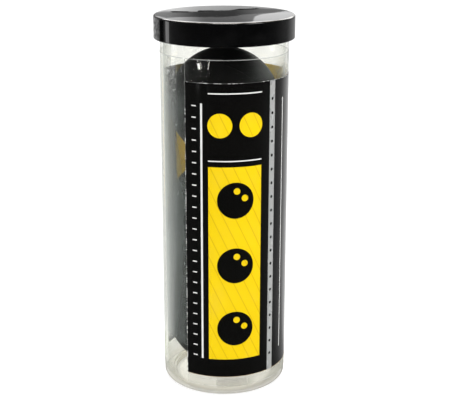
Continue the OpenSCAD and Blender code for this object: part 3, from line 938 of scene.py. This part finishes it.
ballLook = {
    "size": 40, "wall": 5.2, "bond": 0.3, "chamfer": 0.14, "groove": 0.06, "dotSize": 5, "dotThick": 0.08,
    "dotGap": 3.5, "dotEdge": 0.12, "dotSunk": 0.01, "play": 1.55, "leanGap": 0.3, "gap": 0.2, "floor": 3.7,
    "leanAt": [254, 313, 184], "dotsBearing": [-126, -109, 152], "dotsRise": [-12, 8, 34],
    "dotsTurn": [30, 75, 10], "names": ["bottom_ball", "middle_ball", "top_ball"],
    "segments": 144, "dotSegments": 48, "crease": 0.5,
    "rubber": ((0.0022, 0.0023, 0.0025, 1), (0.0075, 0.0075, 0.008, 1)), "rubberDeep": 0.000025,
    "bondBlack": ((0.003, 0.003, 0.003, 1), (0.009, 0.009, 0.009, 1)), "bondDeep": 0.00006,
    "yellow": ((0.66, 0.44, 0.006, 1), (0.9, 0.68, 0.02, 1)), "paintDeep": 0.00003,
    "scuffLevel": (0.45, 0.75), "poreAway": (0.0, 0.35), "patchLevel": (0.3, 0.7), "shine": 0.16,
}


def ballRubber(look):
    finish = Finish("ballRubber")
    grain = finish.noise(2400, detail=3.0, rough=0.6, seed=1.0)
    pores = finish.between(finish.cells(1100), look["poreAway"])
    scuffed = finish.between(finish.noise(95, detail=4.0, rough=0.6, seed=4.0), look["scuffLevel"])
    colour = finish.blend(scuffed * 0.8 + (grain - 0.5) * 0.3, *look["rubber"])
    relief = finish.bump(grain * 0.7 + pores, look["rubberDeep"], 0.5)
    rough = 0.52 + scuffed * 0.14
    return finish.done(finish.principled(colour=colour, rough=rough, shine=look["shine"], normal=relief))


def bondRubber(look):
    finish = Finish("bondRubber")
    grain = finish.noise(1500, detail=3.0, seed=2.0)
    colour, relief = finish.blend(grain, *look["bondBlack"]), finish.bump(grain, look["bondDeep"], 0.6)
    return finish.done(finish.principled(colour=colour, rough=0.66, shine=look["shine"], normal=relief))


def dotPaint(look):
    finish = Finish("dotPaint")
    patchy = finish.noise(700, detail=3.0, seed=3.0)
    colour = finish.blend(finish.between(patchy, look["patchLevel"]), *look["yellow"])
    relief = finish.bump(patchy, look["paintDeep"], 0.5)
    return finish.done(finish.principled(colour=colour, rough=0.42, normal=relief))


def makeBalls(look):
    rubber, bond, paint = ballRubber(look), bondRubber(look), dotPaint(look)
    outer = look["size"] / 2
    inner, seam = outer - look["wall"], look["bond"] / 2
    cut = look["chamfer"]
    rim = math.degrees(math.asin((seam + cut) / outer))
    half = bend((0, 0), outer, 90, rim, 56)
    half += [(math.sqrt((outer - cut) ** 2 - seam ** 2), seam)]
    half += bend((0, 0), inner, math.degrees(math.asin(seam / inner)), 90, 32)
    half[0], half[-1] = (0, outer), (0, inner)
    proud = outer - look["groove"]
    ring = [(inner, -seam), (proud, -seam), (proud, seam), (inner, seam), (inner, -seam)]
    spread = math.degrees(math.asin(look["dotSize"] / 2 / outer))
    top, sunk = outer + look["dotThick"], outer - look["dotSunk"]
    cap = bend((0, 0), top, 90, 90 - spread + look["dotEdge"], 14)
    cap += bend((0, 0), sunk, 90 - spread, 90, 10)
    cap[0], cap[-1] = (0, top), (0, sunk)
    tilt = math.asin((look["dotSize"] + look["dotGap"]) / look["size"])

    def shell(name, points, finish, place, segments=look["segments"]):
        piece = turned(name, points, finish, segments, look["crease"])
        piece.data.transform(place)
        return piece

    # each ball leans its own way against the wall and sits on the one below
    reach = look["play"] - look["leanGap"]
    leans = [Vector((math.sin(math.radians(a)), -math.cos(math.radians(a)))) * reach for a in look["leanAt"]]
    height = look["floor"] + look["gap"] + outer
    for k, name in enumerate(look["names"]):
        if k:
            height += math.sqrt((look["size"] + look["gap"]) ** 2 - (leans[k] - leans[k - 1]).length_squared)
        aim = (Matrix.Translation(Vector((*leans[k], height)) * mm)
               @ Matrix.Rotation(math.radians(look["dotsBearing"][k] - 90), 4, "Z")
               @ Matrix.Rotation(math.radians(90 - look["dotsRise"][k]), 4, "Y")
               @ Matrix.Rotation(math.radians(look["dotsTurn"][k]), 4, "Z"))
        title, over = name.split("_")[0] + "Ball", aim @ Matrix.Rotation(math.pi, 4, "X")
        fitted(shell(title + "DottedHalf", half, rubber, aim), name, "ball_rubber", name + "_dotted_half")
        fitted(shell(title + "PlainHalf", half, rubber, over), name, "ball_rubber", name + "_plain_half")
        fitted(shell(title + "Bond", ring, bond, aim), name, "bond_rubber", name + "_bond")
        dots = []
        for side in (-1, 1):
            place = aim @ Matrix.Rotation(side * tilt, 4, "Y")
            dots.append(shell(title + "Dot", cap, paint, place, look["dotSegments"]))
        fitted(joined(title + "Dots", dots), name, "dot_paint", name + "_dots")


makeBalls(ballLook)
print("balls made")


studio = {
    "floorSize": 3.0, "floorDrop": 0.00005, "floorGrey": (0.8, 0.8, 0.8, 1), "paper": (0.26, 0.26, 0.26, 1),
    "room": 0.62,
    # what gloss sees along the floor, from the front (0) to the back (1)
    "sweep": [(0.0, 0.03), (0.25, 0.055), (0.41, 0.13), (0.5, 0.17), (0.56, 0.25), (0.74, 0.38), (0.86, 0.92),
              (1.0, 1.0)],
    # spans on the floor: metres away from the axis, or how far to the back, from 0 at the side to 1
    "glow": (0.0165, 0.018, 1.2, 0.84), "near": (0.07, 0.25, 1.35, 1.0), "far": (0.5, 0.9, 0.0, 0.45),
    "gapAway": (0.75, 0.85), "gap": 0.95, "gapFoot": (0.36, 0.4), "gapTop": (0.61, 0.58), "torn": 0.16,
    "mottleBack": (0.5, 0.6), "mottleSize": (11.0, 38.0), "mottleLevel": (0.35, 0.65, 0.0, 0.62),
    "liftBack": (-0.02, 0.22, 0.5, 0.62), "liftAway": (0.75, 0.6), "lift": 0.32,
    # what the lid's top mirrors of the back wall, from left to right: (place, end of the pale band, gap
    # under it, foot of the cloth)
    "backWall": [
        (-0.066, 0.075, 0.0, 0.173), (-0.06, 0.079, 0.0, 0.172), (-0.058, 0.08, 0.026, 0.171),
        (-0.041, 0.083, 0.028, 0.168), (-0.039, 0.09, 0.004, 0.1675), (-0.03, 0.092, 0.0, 0.166),
        (-0.028, 0.07, 0.024, 0.165), (-0.015, 0.069, 0.018, 0.162), (-0.01, 0.074, 0.003, 0.161),
        (0.004, 0.072, 0.003, 0.157), (0.012, 0.056, 0.008, 0.151), (0.017, 0.044, 0.019, 0.144),
        (0.03, 0.04, 0.022, 0.133), (0.0335, 0.04, 0.018, 0.129), (0.036, 0.042, 0.0, 0.126),
        (0.05, 0.055, 0.0, 0.11)],
    "wallHalf": 0.09, "packing": (5, 20, 5), "wallGrey": 0.075, "ragged": 130.0, "wander": (0.003, 0.004),
    "cardAt": 0.0335, "cardFoot": 0.152, "cardSlope": 0.44,
    # spans in the room, as parts of a direction to the right, to the back or up
    "fading": (-0.054, -0.062), "wallLeft": (-0.024, -0.072, 0.0, 0.36), "wallRight": (0.008, 0.045, 0.0, 0.18),
    "gapEdge": (-0.001, 0.001), "gapEnd": (0.0, 0.003), "bandEdge": (-0.0015, 0.0015),
    "bandSoft": (-0.03, 0.02), "band": (0.48, 4.0), "clothEdge": (0.0, 0.004), "clothGrey": 0.2,
    "clothLeft": (-0.02, -0.06, 0.0, 0.42),
    "cardEdge": (0.0, 0.003, 0.0, 0.85), "most": 1.25, "dimLeft": (0.1, 0.16, 0.0, 0.6),
    "ceiling": (0.232, 0.25, 0.0, 1.8), "ceilingSides": (-0.3, -0.18), "roomGrey": 0.05,
    "sky": (0.1, 0.9, 0.0, 0.25), "backOnly": (0.5, 0.8),
    # lamps: place, size, power and the height on the axis that each aims at
    "lamps": {
        "leftStrip": ((-0.586, 0.126, 0.06), (0.095, 0.1), 0.0635, 0.06),
        "smallWindow": ((-0.2268, -0.2296, 0.0683), (0.028, 0.0034), 0.0048, 0.121),
        "sideWindow": ((-0.1475, -0.287, 0.0696), (0.009, 0.0054), 0.0016, 0.121),
        "topSoft": ((0.0, -0.25, 1.1), (0.5, 0.4), 8.6, 0.06),
        "rightSoft": ((0.8, -0.55, 0.75), (0.5, 0.5), 3.8, 0.07),
        "backSoft": ((-0.42, 0.66, 0.86), (0.5, 0.5), 5.9, 0.07),
        "backRight": ((0.55, 0.8, 0.6), (0.5, 0.5), 2.6, 0.07),
    },
}


def studioFloor(look):
    mesh = bpy.data.meshes.new("studioFloor")
    side, low = look["floorSize"], -look["floorDrop"]
    corners = [(-side, -side, low), (side, -side, low), (side, side, low), (-side, side, low)]
    mesh.from_pydata(corners, [], [(0, 1, 2, 3)])
    floor = placed("studioFloor", mesh)
    finish = Finish("studioFloor")
    path = finish.node("ShaderNodeLightPath")
    # seen directly it is white paper with the shadow left on it, and inside the foot a painted pool of light,
    # standing in for the light that the clear floor gathers
    away = (finish.x * finish.x + finish.y * finish.y) ** 0.5
    glow = finish.grey(finish.between(away, look["glow"]))
    paper = finish.node("ShaderNodeAddShader", sockets={
        0: finish.shader("BsdfDiffuse", look["paper"]), 1: finish.shader("Emission", glow)})
    # in gloss it is white behind the tube, grey at its sides and dark in front, and paler close by
    toBack, left = finish.y / away, finish.x < 0.0
    stops = [(place, (grey, grey, grey, 1)) for place, grey in look["sweep"]]
    ramp = finish.node("ShaderNodeValToRGB", {"stops": stops}, {0: toBack * 0.5 + 0.5})
    near, far = finish.between(away, look["near"]), 1.0 - finish.between(away, look["far"]) * (finish.x > 0.0)
    # far off to the left it has a dark gap with a torn edge, and mottled grey behind it
    torn = toBack + (finish.noise(45, detail=3.0, rough=0.6, seed=61.0) - 0.5) * look["torn"]
    beyond = finish.between(away, look["gapAway"]) * left
    gap = beyond * look["gap"] * finish.between(toBack, look["gapFoot"]) * finish.between(torn, look["gapTop"])
    byTurn, byMetre = look["mottleSize"]
    polar = finish.node("ShaderNodeCombineXYZ", sockets={0: toBack * byTurn, 1: away * byMetre})
    mottled = finish.between(finish.noise(polar, detail=1.0, seed=67.0), look["mottleLevel"])
    mottled = mottled * beyond * finish.between(toBack, look["mottleBack"])
    level = near * far * (1.0 - gap) * (1.0 - mottled)
    # and it is paler to the left, where the tube's clear side looks
    lift = left * finish.within(toBack, look["liftBack"]) * finish.between(away, look["liftAway"])
    lift = lift * look["lift"]
    shade = (finish.node("ShaderNodeSeparateColor", sockets={0: ramp}) + lift) * level
    mirrored = finish.shader("Emission", finish.grey(shade.of("MINIMUM", 1.0)))
    lit = finish.shader("BsdfDiffuse", look["floorGrey"])
    shown = finish.either(path.output("Is Glossy Ray"), lit, mirrored)
    mesh.materials.append(finish.done(finish.either(path.output("Is Camera Ray"), shown, paper)))


def studioRoom(look):
    world = bpy.data.worlds.new("studioRoom")
    bpy.context.scene.world = world
    world.use_nodes = True
    board = Board(world.node_tree)
    board.tree.nodes.clear()
    path = board.node("ShaderNodeLightPath")
    facing = board.node("ShaderNodeTexCoord", out="Generated")
    wander = board.node("ShaderNodeTexNoise", sockets={
        "Vector": facing, "Scale": look["ragged"], "Detail": 3.0}) - 0.5
    toRight, toBack, toTop = board.xyz(facing)
    across, up = toRight + wander * look["wander"][0], toTop + wander * look["wander"][1]
    left = 0.0 - across

    def rise(value, span):
        return board.between(value, look[span])

    def either(share, first, second):
        return board.node("ShaderNodeMix", {"data_type": "FLOAT"}, {0: share, 2: first, 3: second})

    # the back of the room: a dim wall, a pale band low down with a torn lower side and a dark gap under it,
    # a cloth in front, a bright card to the right and the lit ceiling above
    half, packing = look["wallHalf"], look["packing"]      # the places are packed into the ramp's three colours
    stops = [((place + half) / (2 * half), (*(value * by for value, by in zip(places, packing)), 1))
             for place, *places in look["backWall"]]
    shapes = board.node("ShaderNodeSeparateColor", sockets={
        0: board.node("ShaderNodeValToRGB", {"stops": stops}, {0: (across + half) / (2 * half)})})
    end, gap, foot = (shapes.output(name) / by for name, by in zip(("Red", "Green", "Blue"), packing))
    fading = rise(across, "fading")
    wall = look["wallGrey"] + rise(across, "wallLeft") + rise(across, "wallRight")
    dark = rise(up - end, "gapEdge") * rise(gap - (up - end), "gapEnd")
    band = rise(end - up, "bandEdge") * (1.0 - fading) + rise(end - up, "bandSoft") * fading
    band = band * (look["band"][0] - across * look["band"][1])
    cloth = rise(up - foot, "clothEdge") * (look["clothGrey"] + rise(across, "clothLeft"))
    slope = (look["cardFoot"] - up).of("MAXIMUM", 0.0) * look["cardSlope"]
    card = rise(across - look["cardAt"] - slope, "cardEdge")
    behind = (wall * (1.0 - dark) + band + cloth + card).of("MINIMUM", look["most"])
    behind = behind * (1.0 - rise(left, "dimLeft"))
    behind = behind + rise(up, "ceiling") * rise(across, "ceilingSides") * rise(left, "ceilingSides")
    cards = either(rise(toBack, "backOnly"), look["roomGrey"] + rise(toTop, "sky"), behind)
    strength = either(path.output("Is Glossy Ray"), look["room"], cards)
    strength = either(path.output("Is Camera Ray"), strength, 1.0)
    board.node("ShaderNodeOutputWorld", sockets={
        "Surface": board.node("ShaderNodeBackground", sockets={"Color": (1, 1, 1, 1), "Strength": strength})})


def studioLamps(look):
    for name, (place, size, power, height) in look["lamps"].items():
        data = bpy.data.lights.new(name, "AREA")
        data.shape = "RECTANGLE"
        data.size, data.size_y = size
        data.energy = power
        light = placed(name, data)
        light.location = place
        light.rotation_euler = (Vector((0, 0, height)) - Vector(place)).to_track_quat("-Z", "Y").to_euler()
        light.visible_camera = False


studioFloor(studio)
studioRoom(studio)
studioLamps(studio)
print("studio set")
